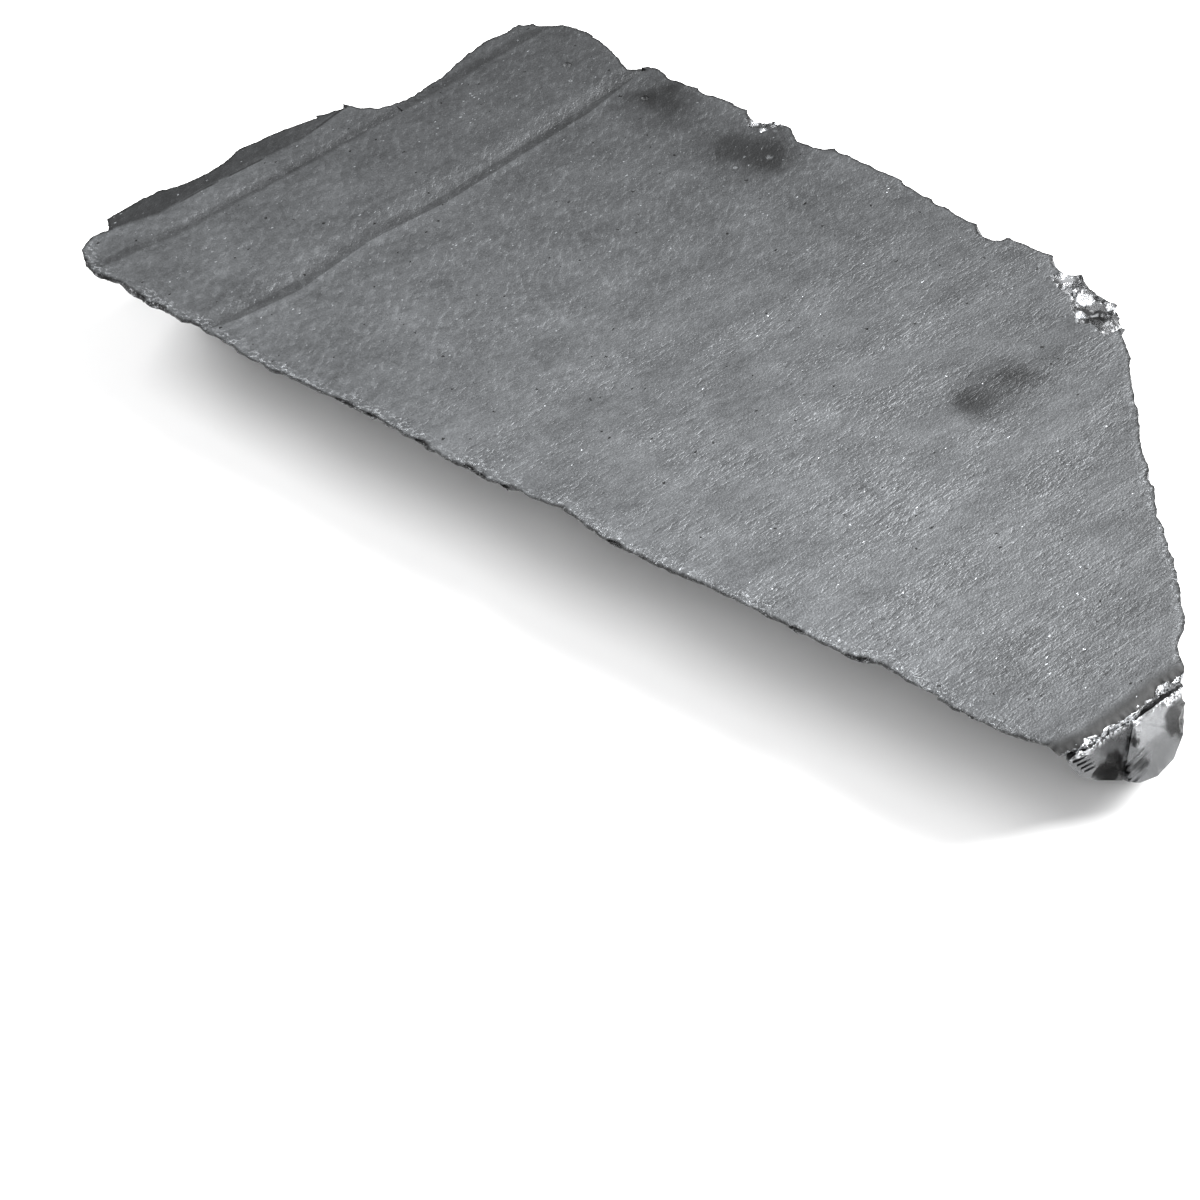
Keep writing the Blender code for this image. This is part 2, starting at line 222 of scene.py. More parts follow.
def patchTriangles(normal, patch, kind, points, along, rng):
    # the patch seen straight on: its border, a grid inside it, and the triangles between
    across = normal.orthogonal().normalized()
    upward = normal.cross(across)
    border = []
    for face in patch:
        for edge in face.edges:
            if edge.index in along:
                chain = along[edge.index]
                border += list(zip(chain, chain[1:]))
    used = sorted({index for pair in border for index in pair})
    flat = {index: (points[index].dot(across), points[index].dot(upward)) for index in used}
    starts = np.array([flat[a] for a, b in border])
    ends = np.array([flat[b] for a, b in border])
    places = np.array([flat[index] for index in used])
    origin = points[used[0]].dot(normal)
    step = skinSettings[kind]
    middle = sum((points[index] for index in used), Vector()) / len(used)
    cornerX, cornerY = skinSettings["cornerFrom"]
    if kind == "wallStep" and middle.x > cornerX and middle.y < cornerY:
        step = skinSettings["cornerStep"]
    inner = np.zeros((0, 2))
    if len(patch) > 1 or patch[0].calc_area() / mm ** 2 > step * step:
        grid = hexPoints(places.min(0), places.max(0), step, rng)
        grid = grid[insideMask(grid, starts, ends)]
        gap = borderDistance(grid, starts, ends, skinSettings["rimBand"])
        if kind == "topStep":
            fine = hexPoints(places.min(0), places.max(0), skinSettings["rimStep"], rng)
            fine = fine[insideMask(fine, starts, ends)]
            fineGap = borderDistance(fine, starts, ends, skinSettings["rimBand"])
            keep = fineGap > skinSettings["insideEdge"] * skinSettings["rimStep"]
            axes = np.array([tuple(across), tuple(upward)])[:, :2]
            nearRim = (fineGap < skinSettings["rimBand"]) | atFineSpot(fine @ axes)
            coarse = (gap >= skinSettings["rimBand"]) & ~atFineSpot(grid @ axes)
            inner = np.concatenate([fine[keep & nearRim], grid[coarse]])
        else:
            edgeGap = skinSettings["insideEdge"] * min(step, skinSettings["wallStep"])
            inner = grid[gap > edgeGap]
    cloud = [Vector(place) for place in np.concatenate([places, inner])]
    order = {index: k for k, index in enumerate(used)}
    links = [(order[a], order[b]) for a, b in border]
    made, lines, triangles, sources, lineSources, _ = delaunay_2d_cdt(
        cloud, links, [], 0, skinSettings["joinWithin"])
    walls = {frozenset(line) for line, origins in zip(lines, lineSources) if origins}
    inside = insideBorder(triangles, walls)
    numbers = []
    for place, source in zip(made, sources):
        known = [k for k in source if k < len(used)]
        if known:
            numbers.append(used[known[0]])
        else:
            numbers.append(len(points))
            points.append(across * place.x + upward * place.y + normal * origin)
    return [tuple(numbers[k] for k in corners) for corners, kept in zip(triangles, inside) if kept]


def fineSkin():
    rng = np.random.default_rng(skinSettings["seed"])
    solid = weldedSolid()
    patches = flatPatches(solid)
    patchOf = {face.index: k for k, (_, patch) in enumerate(patches) for face in patch}
    kinds = [patchStep(normal, patch[0].calc_center_median().z / mm) for normal, patch in patches]
    points, along = edgePoints(solid, patchOf, kinds)
    triangles = []
    finishes = []
    for (normal, patch), kind in zip(patches, kinds):
        made = patchTriangles(normal, patch, kind, points, along, rng)
        triangles += made
        finishes += [finishOf[kind]] * len(made)
    print("skin:", len(patches), "flat faces,", len(triangles), "triangles")
    solid.free()
    used, corners = np.unique(np.array(triangles), return_inverse=True)
    places = np.array([tuple(point) for point in points])[used]
    return places, corners.reshape(-1, 3), np.array(finishes)


# Relief: rounded shells, small facets on the walls, crumbs along the rim, waves left by the saw

reliefSettings = {
    "creaseAngle": 21.0,       # sharper edges stay, softer ones are rounded
    "rounds": 7,
    "roundShare": 0.5,
    "hollowFrom": (60.0, 10.8),    # beyond this x and below this height hollow edges are rounded too
    "cornerFill": [(60.8, -23.6, 9.0), (66.0, -15.5, 11.6)],    # this notch becomes one slope
    "fillRounds": 90,
    "shells": [(6.0, 0.6), (2.4, 0.26), (1.2, 0.1)],    # size and depth of the hollows on the walls
    "facetSeed": 11,
    "hackle": 0.05,            # fine roughness of the walls
    "hackleSize": 0.9,
    "cornerStart": (57.0, -12.0, 3.0),    # where the thick corner starts, and how softly
    "calm": 0.12,              # the thick corner keeps large smooth facets
    "grainSeed": 12,
    "grainSize": 4.2,          # crystal grains, each of its own brightness where it broke
    "grainTones": (0.55, 1.3),
    "wallFade": (0.9, 0.5),    # relief dies out this near the cast face and the rim
    "rimDepth": 1.5,           # the rim is looked for this far below the top
    "rimReach": 3.0,           # distances to the rim are taken this far down
    "farGap": 9.0,
    "crumb": 0.1,              # how far the rim crumbles
    "crumbSize": 0.42,
    "crumbReach": 0.8,
    "crumbSink": 0.35,
    "beyond": 1.5,             # how far outward the sawn face is looked for beyond an edge
    "sawnWithin": 0.45,
    "stepReach": 0.7,
    "stepDepth": 1.0,
    "sawWave": 0.028,          # long low waves across the saw's path
    "sawWaveWidth": 2.6,
    "sawWaveLength": 45.0,
    "sawWaveFade": 0.6,
    "sawAngle": 75.0,          # the saw's path, degrees from +X
    "chips": [
        [(23.4, 27.0), (24.4, 29.5), (27.2, 30.0), (29.4, 29.6), (33.0, 28.6), (34.0, 25.0),
         (33.2, 22.6), (32.3, 21.6), (31.2, 22.9), (29.6, 21.9), (28.6, 23.2), (27.6, 23.9),
         (26.8, 25.5), (25.2, 25.7)],
        [(-18.7, 30.9), (-17.6, 29.8), (-16.7, 30.2), (-16.0, 29.9), (-15.2, 31.2), (-15.4, 34.0),
         (-18.4, 34.0)]],
    "chipDepth": 0.3,
    "chipFacet": 1.6,
    "chipTilt": 0.24,
    "chipSwing": 0.25,         # a facet's tilt moves a point up or down by no more than this
    "chipSink": (0.03, 0.6),
    "chipFade": (0.5, 0.35),   # near the rim a chip is shallower, down to this share
    "chipTop": 0.8,            # the chips lie within this depth below the top
    "cornerRoll": 0.42,        # the sawn face rolls off towards the thick corner
    "cornerRollReach": 1.7,
    "cornerCrease": [(59.4, -32.2), (61.0, -29.2), (61.4, -26.7), (62.3, -23.1), (62.9, -19.2),
                     (63.9, -16.6)],
}


def triangleNormals(places, corners):
    a, b, c = places[corners[:, 0]], places[corners[:, 1]], places[corners[:, 2]]
    return np.cross(b - a, c - a)


def pointNormals(places, corners):
    normals = np.zeros_like(places)
    flat = triangleNormals(places, corners)
    for k in range(3):
        np.add.at(normals, corners[:, k], flat)
    return normals / np.maximum(np.linalg.norm(normals, axis=1, keepdims=True), 1e-12)


def skinEdges(corners):
    # every edge once, with the two triangles beside it
    sides = np.concatenate([corners[:, [0, 1]], corners[:, [1, 2]], corners[:, [2, 0]]])
    owner = np.tile(np.arange(len(corners)), 3)
    sides = np.sort(sides, axis=1)
    order = np.lexsort((sides[:, 1], sides[:, 0]))
    return sides[order][::2], owner[order].reshape(-1, 2)


def roundSoftEdges(places, corners, finishes):
    edges, beside = skinEdges(corners)
    flat = triangleNormals(places, corners)
    flat /= np.maximum(np.linalg.norm(flat, axis=1, keepdims=True), 1e-12)
    turn = (flat[beside[:, 0]] * flat[beside[:, 1]]).sum(axis=1)
    sharp = turn < math.cos(math.radians(reliefSettings["creaseAngle"]))
    sharp |= finishes[beside[:, 0]] != finishes[beside[:, 1]]
    middles = places[corners].mean(axis=1)
    hollow = ((middles[beside[:, 1]] - middles[beside[:, 0]]) * flat[beside[:, 0]]).sum(axis=1) > 0
    fromX, belowHeight = reliefSettings["hollowFrom"]
    beyond = (middles[beside[:, 0], 0] > fromX) & (middles[beside[:, 0], 2] < belowHeight)
    sharp &= ~(hollow & beyond)
    fixed = np.zeros(len(places), bool)
    fixed[edges[sharp].ravel()] = True
    fixed[corners[finishes != 1].ravel()] = True
    count = np.bincount(edges.ravel(), minlength=len(places))[:, None]
    for _ in range(reliefSettings["rounds"]):
        total = np.zeros_like(places)
        np.add.at(total, edges[:, 0], places[edges[:, 1]])
        np.add.at(total, edges[:, 1], places[edges[:, 0]])
        middle = total / np.maximum(count, 1)
        places[~fixed] += reliefSettings["roundShare"] * (middle - places)[~fixed]
    fillCorner(places, corners, finishes, edges)
    return edges, beside


def fillCorner(places, corners, finishes, edges):
    # the notch below the rim is drawn tight like a skin between its own borders
    low, high = reliefSettings["cornerFill"]
    held = np.zeros(len(places), bool)
    held[corners[finishes != 1].ravel()] = True
    loose = ((places > low) & (places < high)).all(axis=1) & ~held
    near = edges[loose[edges].any(axis=1)]
    count = np.bincount(near.ravel(), minlength=len(places))[loose, None]
    for _ in range(reliefSettings["fillRounds"]):
        total = np.zeros_like(places)
        np.add.at(total, near[:, 0], places[near[:, 1]])
        np.add.at(total, near[:, 1], places[near[:, 0]])
        places[loose] = total[loose] / count


def lineDistance(places, line):
    line = np.array(line, float)
    best = np.full(len(places), 1e9)
    for a, b in zip(line, line[1:]):
        along = b - a
        share = np.clip(((places - a) @ along) / (along @ along), 0, 1)
        best = np.minimum(best, np.linalg.norm(places - (a + share[:, None] * along), axis=1))
    return best


def sideOfLine(places, line):
    # signed distance to a line across the sawn face, positive on its right
    line = np.array(line, float)
    ends = [line[0] - 20 * (line[1] - line[0]), line[-1] + 20 * (line[-1] - line[-2])]
    whole = np.vstack([ends[0], line, ends[1]])
    reach = lineDistance(places, whole)
    across = np.interp(places[:, 1], whole[:, 1], whole[:, 0])
    return np.where(places[:, 0] > across, reach, -reach)


def insideOutline(places, outline):
    line = np.array(outline, float)
    return insideMask(places, line, np.roll(line, -1, axis=0))


def treeOf(seeds):
    tree = KDTree(len(seeds))
    for k, seed in enumerate(seeds):
        tree.insert(seed, k)
    tree.balance()
    return tree


def boxAround(places, margin, size):
    # a box around the places, and how many cells of one size fill it
    low, high = places.min(0) - margin, places.max(0) + margin
    return low, high, int(np.prod((high - low) / size))


def nearestGap(places, targets):
    tree = treeOf(targets)
    return np.array([tree.find(place)[2] for place in places])


def cornerShare(places):
    # 1 at the thick corner, 0 elsewhere
    startX, startY, fade = reliefSettings["cornerStart"]
    return np.clip((places[:, 0] - startX) / fade, 0, 1) * np.clip((startY - places[:, 1]) / fade, 0, 1)


def hollowShells(places, size, rng):
    # shallow hollows that meet in sharp ridges
    low, high, count = boxAround(places, size, size)
    tree = treeOf(rng.uniform(low, high, (count, 3)))
    gaps = np.array([[found[2] for found in tree.find_n(place, 2)] for place in places])
    return np.clip((gaps[:, 1] - gaps[:, 0]) / size, 0, 1)


def grainTones(places, finishes, corners):
    # each crystal grain of the break has its own brightness
    rng = np.random.default_rng(reliefSettings["grainSeed"])
    tones = np.ones(len(places))
    index = np.unique(corners[finishes == 1])
    here = places[index]
    size = reliefSettings["grainSize"]
    low, high, count = boxAround(here, size, size)
    own = rng.uniform(*reliefSettings["grainTones"], count)
    tree = treeOf(rng.uniform(low, high, (count, 3)))
    tones[index] = own[[tree.find(place)[1] for place in here]]
    chipped = here[:, 2] > topHeight - reliefSettings["chipTop"]
    tones[index] += (1 - tones[index]) * np.maximum(cornerShare(here), chipped)
    return tones


def tiltedFacets(places, size, tilt, rng):
    # each small cell tilts its own way
    low, high, count = boxAround(places, 2, size)
    seeds = rng.uniform(low, high, (count, 3))
    tilts = rng.normal(0, 1, (count, 3)) * tilt
    tree = treeOf(seeds)
    nearest = np.array([tree.find(place)[1] for place in places])
    return ((places - seeds[nearest]) * tilts[nearest]).sum(axis=1)


def outerRim(places, corners, finishes, edges, beside):
    # beyond the outer rim there is no sawn face; beyond a saw step or a pit there is
    mixed = (finishes[beside].min(axis=1) == 0) & (finishes[beside].max(axis=1) == 1)
    pairs = edges[mixed]
    middles = places[pairs].mean(axis=1)
    flat = triangleNormals(places, corners)
    wallSide = np.where(finishes[beside[mixed, 0]] == 1, beside[mixed, 0], beside[mixed, 1])
    outward = flat[wallSide] * (1, 1, 0)
    outward /= np.maximum(np.linalg.norm(outward, axis=1, keepdims=True), 1e-9)
    sawn = places[np.unique(corners[finishes == 0])] * (1, 1, 0)
    further = (middles + outward * reliefSettings["beyond"]) * (1, 1, 0)
    beyond = nearestGap(further, sawn) < reliefSettings["sawnWithin"]
    high = middles[:, 2] > topHeight - reliefSettings["rimDepth"]
    return middles[high & ~beyond], middles[high & beyond]


def touchedBy(corners, finishes, finish, count):
    touched = np.zeros(count, bool)
    touched[corners[finishes == finish].ravel()] = True
    return touched


def carveWalls(places, normals, index, rimGap, rng):
    here = places[index]
    nearBase, nearRim = reliefSettings["wallFade"]
    fade = np.clip(np.minimum(here[:, 2] / nearBase, rimGap[index] / nearRim), 0, 1)
    push = np.zeros(len(here))
    for size, depth in reliefSettings["shells"]:
        push -= depth * hollowShells(here, size, rng)
    size = reliefSettings["hackleSize"]
    hackle = np.array([noise.fractal(Vector(place) / size, 0.9, 2.0, 3) for place in here])
    push += reliefSettings["hackle"] * hackle
    push *= 1 - cornerShare(here) * (1 - reliefSettings["calm"])
    places[index] += normals[index] * (push * fade)[:, None]


def crumbleRim(places, index, rimGap):
    size = reliefSettings["crumbSize"]
    shift = np.array([noise.noise_vector(Vector(place) / size) for place in places[index]])
    fade = (1 - rimGap[index] / reliefSettings["crumbReach"])[:, None]
    shift[:, 2] -= reliefSettings["crumbSink"]
    places[index] += shift * fade * reliefSettings["crumb"]


def waveSawnFace(places, index, rimGap):
    here = places[index]
    angle = math.radians(reliefSettings["sawAngle"])
    along = here[:, 0] * math.cos(angle) + here[:, 1] * math.sin(angle)
    across = -here[:, 0] * math.sin(angle) + here[:, 1] * math.cos(angle)
    length, width = reliefSettings["sawWaveLength"], reliefSettings["sawWaveWidth"]
    wave = np.array([noise.fractal(Vector((u / length, v / width, 0)), 0.8, 2.0, 2)
                     for u, v in zip(along, across)])
    fade = np.clip(rimGap[index] / reliefSettings["sawWaveFade"], 0, 1)
    lift = wave * reliefSettings["sawWave"] * fade
    roll = lineDistance(here[:, :2], reliefSettings["cornerCrease"]) / reliefSettings["cornerRollReach"]
    lift -= reliefSettings["cornerRoll"] * np.clip(1 - roll, 0, 1) ** 2
    places[index, 2] += lift


def sinkChip(places, corners, finishes, sawn, outline, rimGap, rng):
    middles = places[corners].mean(axis=1)
    finishes[(finishes == 0) & insideOutline(middles[:, :2], outline)] = 1
    index = np.flatnonzero(sawn & insideOutline(places[:, :2], outline))
    flat = places[index] * (1, 1, 0)
    facets = tiltedFacets(flat, reliefSettings["chipFacet"], reliefSettings["chipTilt"], rng)
    swing = reliefSettings["chipSwing"]
    reach, least = reliefSettings["chipFade"]
    sink = reliefSettings["chipDepth"] * np.clip(rimGap[index] / reach, least, 1)
    places[index, 2] -= np.clip(sink - np.clip(facets, -swing, swing), *reliefSettings["chipSink"])


def carveRelief(places, corners, finishes):
    rng = np.random.default_rng(reliefSettings["facetSeed"])
    edges, beside = roundSoftEdges(places, corners, finishes)
    normals = pointNormals(places, corners)
    rim, inner = outerRim(places, corners, finishes, edges, beside)
    middles = places[corners].mean(axis=1)
    shallow = middles[:, 2] > topHeight - reliefSettings["stepDepth"]
    steps = np.flatnonzero((finishes == 1) & shallow)
    inStep = nearestGap(middles[steps], inner) < reliefSettings["stepReach"]
    inStep &= nearestGap(middles[steps], rim) > reliefSettings["stepReach"]
    finishes[steps[inStep]] = 0    # the walls of the saw steps are sawn too

    sawn, wall, cast = [touchedBy(corners, finishes, k, len(places)) for k in range(3)]
    high = places[:, 2] > topHeight - reliefSettings["rimReach"]
    rimGap = np.full(len(places), reliefSettings["farGap"])
    rimGap[high] = nearestGap(places[high], rim)

    carveWalls(places, normals, np.flatnonzero(wall & ~sawn & ~cast), rimGap, rng)
    crumbleRim(places, np.flatnonzero((rimGap < reliefSettings["crumbReach"]) & ~cast), rimGap)
    waveSawnFace(places, np.flatnonzero(sawn), rimGap)
    for outline in reliefSettings["chips"]:
        sinkChip(places, corners, finishes, sawn, outline, rimGap, rng)
    print("relief: rim points", len(rim), "wall points", int(wall.sum()))
    return rimGap


# Marks on the sawn face, as numbers kept at its points

markSettings = {
    "ledge": [(-63.4, -26.4), (-60.9, -20.9), (-60.0, -15.3), (-58.8, -9.9), (-56.9, -1.8), (-56.7, 5.9)],
    "softGroove": [(-58.1, -25.7), (-56.6, -21.0), (-55.3, -14.0), (-53.4, -4.3), (-52.1, 2.9),
                   (-51.1, 8.9)],
    "groove": [(-44.0, -33.0), (-42.3, -29.3), (-40.2, -22.0), (-39.4, -11.1), (-36.7, -0.5),
               (-34.8, 13.6), (-33.7, 21.5), (-33.5, 31.0)],
    "stains": [((-30.2, 27.3), 1.9, 1.0), ((-30.2, 27.3), 5.0, 0.5), ((-27.0, 29.0), 2.6, 0.6),
               ((-25.0, 24.5), 4.0, 0.3), ((-12.6, 26.6), 2.6, 1.0), ((-14.6, 26.0), 5.6, 0.75),
               ((-17.5, 25.5), 3.5, 0.5), ((-14.8, 31.1), 1.6, 0.5), ((-28.8, 30.3), 2.0, 0.7),
               ((27.6, 4.6), 2.6, 0.75), ((28.5, 11.2), 2.0, 0.65), ((28.0, 8.0), 6.0, 0.55),
               ((29.8, 15.5), 3.0, 0.35), ((-41.0, 27.0), 1.2, 0.5)],
    "stainWander": 1.1,
    "stainWanderSize": 3.1,
    "stainFall": 1.4,          # how fast a stain fades towards its edge
    "toneWander": 0.55,        # the borders of the facet tones stray this far
    "chipWander": 0.2,
    "wanderSize": 0.8,
    "facetEdge": 6.0,          # how crisp those borders are
    "facetShadeAndReflections": [
        # place on the thick corner or in a chip, radius, tone; a tone below 1 is painted shade, above 1 a
        # painted reflection
        ((61.9, -27.0, 7.2), 1.9, 0.03), ((62.6, -26.2, 6.0), 1.5, 0.05), ((62.7, -24.6, 9.9), 0.5, 0.08),
        ((62.9, -24.2, 9.0), 0.55, 0.1), ((64.0, -24.0, 6.3), 0.8, 0.35), ((61.9, -26.4, 9.7), 1.4, 0.6),
        ((64.8, -18.6, 8.9), 2.1, 0.1), ((65.4, -17.4, 7.6), 2.2, 0.28),
        ((30.0, 25.4, 11.7), 2.3, 0.4), ((30.9, 23.4, 11.7), 1.2, 0.32), ((-16.9, 31.4, 11.7), 1.1, 0.5),
        ((28.1, 26.1, 11.7), 1.05, 5.5), ((28.9, 23.5, 11.7), 0.65, 5.0), ((30.4, 24.3, 11.7), 0.45, 5.0),
        ((24.9, 27.8, 11.7), 0.9, 4.5), ((31.1, 26.5, 11.7), 0.55, 4.5), ((29.5, 27.3, 11.7), 0.5, 3.0),
        ((26.4, 26.9, 11.7), 0.9, 1.8), ((32.4, 22.7, 11.7), 0.9, 1.6), ((-17.6, 30.8, 11.7), 0.5, 4.5),
        ((-16.2, 30.4, 11.7), 0.45, 4.0)],
    "brightRims": [[(60.7, -30.0, 11.3), (61.2, -27.6, 11.5), (61.6, -25.6, 11.5), (62.3, -23.4, 11.3)],
                   [(63.3, -19.3, 11.1), (63.8, -17.4, 11.1)]],
    "brightRimReach": 1.0,
    "brightRimFall": 1.6,
    "rimShade": (0.16, 0.15, 0.65),    # darkest share of the painted shade, where it ends, how far it fades in
    "cornerShade": 0.8,
    "drops": [((-12.6, 26.6), 0.55, 0.55), ((-14.6, 22.7), 0.32, 0.9), ((-14.8, 30.9), 0.34, 0.5),
              ((-39.0, 25.0), 0.3, 1.2)],
}


def stainMap(places):
    amount = np.zeros(len(places))
    size = markSettings["stainWanderSize"]
    wander = np.array([noise.noise_vector(Vector((x, y, 3.0)) / size) for x, y in places[:, :2]])
    moved = places[:, :2] + wander[:, :2] * markSettings["stainWander"]
    for centre, radius, strength in markSettings["stains"]:
        gap = np.linalg.norm(moved - np.array(centre), axis=1) / radius
        amount = 1 - (1 - amount) * (1 - strength * np.exp(-markSettings["stainFall"] * gap ** 2))
    return amount


def facetShadeAndReflections(places):
    # painted shade and painted reflections: some facets of the thick corner and of the chips are painted
    # dark, others painted bright as if catching the light
    tone = np.ones(len(places))
    size = markSettings["wanderSize"]
    wander = np.array([noise.noise_vector(Vector(place) / size) for place in places])
    atCorner = places[:, 0] > reliefSettings["cornerStart"][0]
    far = np.where(atCorner, markSettings["toneWander"], markSettings["chipWander"])
    moved = places + wander * far[:, None]
    for centre, radius, strength in markSettings["facetShadeAndReflections"]:
        gap = np.linalg.norm(moved - np.array(centre), axis=1) / radius
        mask = np.clip(0.2 + markSettings["facetEdge"] * (1 - gap), 0, 1)
        if strength < 1:
            tone = tone * (1 + (strength - 1) * mask)
        else:
            tone = np.maximum(tone, strength * mask)
    return tone


def crumbledMap(places):
    crumbled = np.zeros(len(places))
    for line in markSettings["brightRims"]:
        gap = lineDistance(places, line) / markSettings["brightRimReach"]
        crumbled = np.maximum(crumbled, np.clip(2 - markSettings["brightRimFall"] * gap, 0, 1))
    return crumbled


def rimShadeMap(places, rimGap):
    # painted shade: the walls are darkened close under the rim, apart from the thick corner and the chips
    darkest, start, reach = markSettings["rimShade"]
    shade = darkest + (1 - darkest) * np.clip((rimGap - start) / reach, 0, 1)
    corner = cornerShare(places)
    shallow = places[:, 2] > topHeight - reliefSettings["stepDepth"]
    for outline in reliefSettings["chips"]:
        corner[insideOutline(places[:, :2], outline) & shallow] = 1
    return shade + (1 - shade) * markSettings["cornerShade"] * corner


def buildSkin():
    noise.seed_set(skinSettings["noiseSeed"])
    places, corners, finishes = fineSkin()
    rimGap = carveRelief(places, corners, finishes)
    mesh = bpy.data.meshes.new("silicon")
    mesh.from_pydata((places * mm).tolist(), [], corners.tolist())
    mesh.polygons.foreach_set("material_index", finishes.astype(np.int32))
    numbers = {
        "rimGap": rimGap,
        "ledgeGap": sideOfLine(places[:, :2], markSettings["ledge"]),
        "softGap": sideOfLine(places[:, :2], markSettings["softGroove"]),
        "grooveGap": sideOfLine(places[:, :2], markSettings["groove"]),
        "rollGap": lineDistance(places[:, :2], reliefSettings["cornerCrease"]),
        "stain": stainMap(places),
        "facetShading": facetShadeAndReflections(places),
        "crumbled": crumbledMap(places),
        "grainTone": grainTones(places, finishes, corners),
        "rimShade": rimShadeMap(places, rimGap),
    }
    for name, values in numbers.items():
        kept = mesh.attributes.new(name, "FLOAT", "POINT")
        kept.data.foreach_set("value", np.asarray(values, np.float32))
    print("marks:", ", ".join(numbers))
    mesh.shade_smooth()
    mesh.set_sharp_from_angle(angle=math.radians(reliefSettings["creaseAngle"]))
    mesh.validate()
    skin = bpy.data.objects.new("silicon", mesh)
    bpy.context.scene.collection.objects.link(skin)
    return skin


# Small makers for shader nodes

def addNode(tree, kind, inputs=None, **settings):
    made = tree.nodes.new(kind)
    for name, value in settings.items():
        setattr(made, name, value)
    for key, value in (inputs or {}).items():
        if isinstance(value, bpy.types.NodeSocket):
            tree.links.new(value, made.inputs[key])
        else:
            made.inputs[key].default_value = value
    return made


def maths(tree, operation, a, b=0.0, clamp=False):
    return addNode(tree, "ShaderNodeMath", {0: a, 1: b}, operation=operation, use_clamp=clamp).outputs[0]


def times(tree, a, b):
    return maths(tree, "MULTIPLY", a, b)


def plus(tree, a, b):
    return maths(tree, "ADD", a, b)


def minus(tree, a, b):
    return maths(tree, "SUBTRACT", a, b)


def addShare(tree, value, mask, amount):
    return plus(tree, value, times(tree, mask, amount))


def remap(tree, value, low, high, newLow=0.0, newHigh=1.0):
    made = addNode(tree, "ShaderNodeMapRange", {
        "Value": value, "From Min": low, "From Max": high, "To Min": newLow, "To Max": newHigh},
        interpolation_type="SMOOTHSTEP")
    return made.outputs["Result"]


def numberAt(tree, name):
    return addNode(tree, "ShaderNodeAttribute", attribute_name=name).outputs["Fac"]


def newGroup(name, inputs, outputs):
    group = bpy.data.node_groups.new(name, "ShaderNodeTree")
    for label, value in inputs.items():
        socket = group.interface.new_socket(label, in_out="INPUT", socket_type="NodeSocketFloat")
        socket.default_value = value
    for label in outputs:
        group.interface.new_socket(label, in_out="OUTPUT", socket_type="NodeSocketFloat")
    inside = group.nodes.new("NodeGroupInput")
    outside = group.nodes.new("NodeGroupOutput")
    return group, inside.outputs, outside.inputs


def stretchedPlace(group, given):
    # the place on the slab in millimetres, turned by an angle and drawn out along it
    place = addNode(group, "ShaderNodeTexCoord").outputs["Object"]
    inMm = addNode(group, "ShaderNodeVectorMath", {0: place, "Scale": 1 / mm}, operation="SCALE")
    turn = addNode(group, "ShaderNodeCombineXYZ", {"Z": maths(group, "RADIANS", given["Angle"])})
    scale = addNode(group, "ShaderNodeCombineXYZ", {
        "X": given["Length"], "Y": given["Width"], "Z": given["Depth"]})
    move = addNode(group, "ShaderNodeCombineXYZ", {"Z": given["Shift"]})
    mapped = addNode(group, "ShaderNodeMapping", {
        "Vector": inMm.outputs[0], "Location": move.outputs[0], "Rotation": turn.outputs[0],
        "Scale": scale.outputs[0]}, vector_type="TEXTURE")
    return mapped.outputs[0]


def stretchedGrainGroup():
    # noise drawn out along one direction
    group, given, result = newGroup("stretchedGrain", {
        "Angle": 0.0, "Length": 1.0, "Width": 1.0, "Depth": 1.0, "Detail": 2.0, "Contrast": 1.0,
        "Shift": 0.0}, ["Value"])
    grain = addNode(group, "ShaderNodeTexNoise", {
        "Vector": stretchedPlace(group, given), "Scale": 1.0, "Detail": given["Detail"],
        "Roughness": 0.55})
    strong = times(group, minus(group, grain.outputs["Fac"], 0.5), given["Contrast"])
    group.links.new(maths(group, "ADD", strong, 0.5, clamp=True), result["Value"])
    return group


def flecksGroup():
    # small scattered spots with ragged edges
    group, given, result = newGroup("flecks", {
        "Angle": 0.0, "Length": 1.0, "Width": 1.0, "Depth": 1.0, "Amount": 0.2, "Size": 0.3,
        "Shift": 0.0}, ["Mask"])
    place = stretchedPlace(group, given)
    cells = addNode(group, "ShaderNodeTexVoronoi", {"Vector": place, "Scale": 1.0})
    split = addNode(group, "ShaderNodeSeparateColor", {"Color": cells.outputs["Color"]})
    chosen = maths(group, "LESS_THAN", split.outputs["Red"], given["Amount"])
    size = times(group, given["Size"], plus(group, split.outputs["Green"], 0.4))
    ragged = addNode(group, "ShaderNodeTexNoise", {"Vector": place, "Scale": 3.5, "Detail": 2.0})
    wobble = times(group, minus(group, ragged.outputs["Fac"], 0.5), 0.75)
    near = maths(group, "LESS_THAN", plus(group, cells.outputs["Distance"], wobble), size)
    group.links.new(times(group, chosen, near), result["Mask"])
    return group


def useGroup(tree, group, row):
    # a row of settings gives the group's inputs in their order
    return addNode(tree, "ShaderNodeGroup", dict(enumerate(row)), node_tree=group).outputs[0]


def useRows(tree, group, rows):
    return {name: useGroup(tree, group, row) for name, row in rows.items()}


def dropMark(tree, place, centre, radius):
    # a small round dried drop, lighter than the face around it
    toCentre = (-centre[0] * mm, -centre[1] * mm, 0)
    offset = addNode(tree, "ShaderNodeVectorMath", {0: place, 1: toCentre}, operation="ADD")
    level = addNode(tree, "ShaderNodeVectorMath", {0: offset.outputs[0], 1: (1, 1, 0)},
                    operation="MULTIPLY")
    gap = addNode(tree, "ShaderNodeVectorMath", {0: level.outputs[0]}, operation="LENGTH")
    return remap(tree, gap.outputs["Value"], radius * mm, 0.55 * radius * mm)


def newMaterial(name, settings):
    material = bpy.data.materials.new(name)
    material.use_nodes = True
    tree = material.node_tree
    shader = tree.nodes["Principled BSDF"]
    for label, value in settings["shader"].items():
        shader.inputs[label].default_value = value
    return material, tree, shader


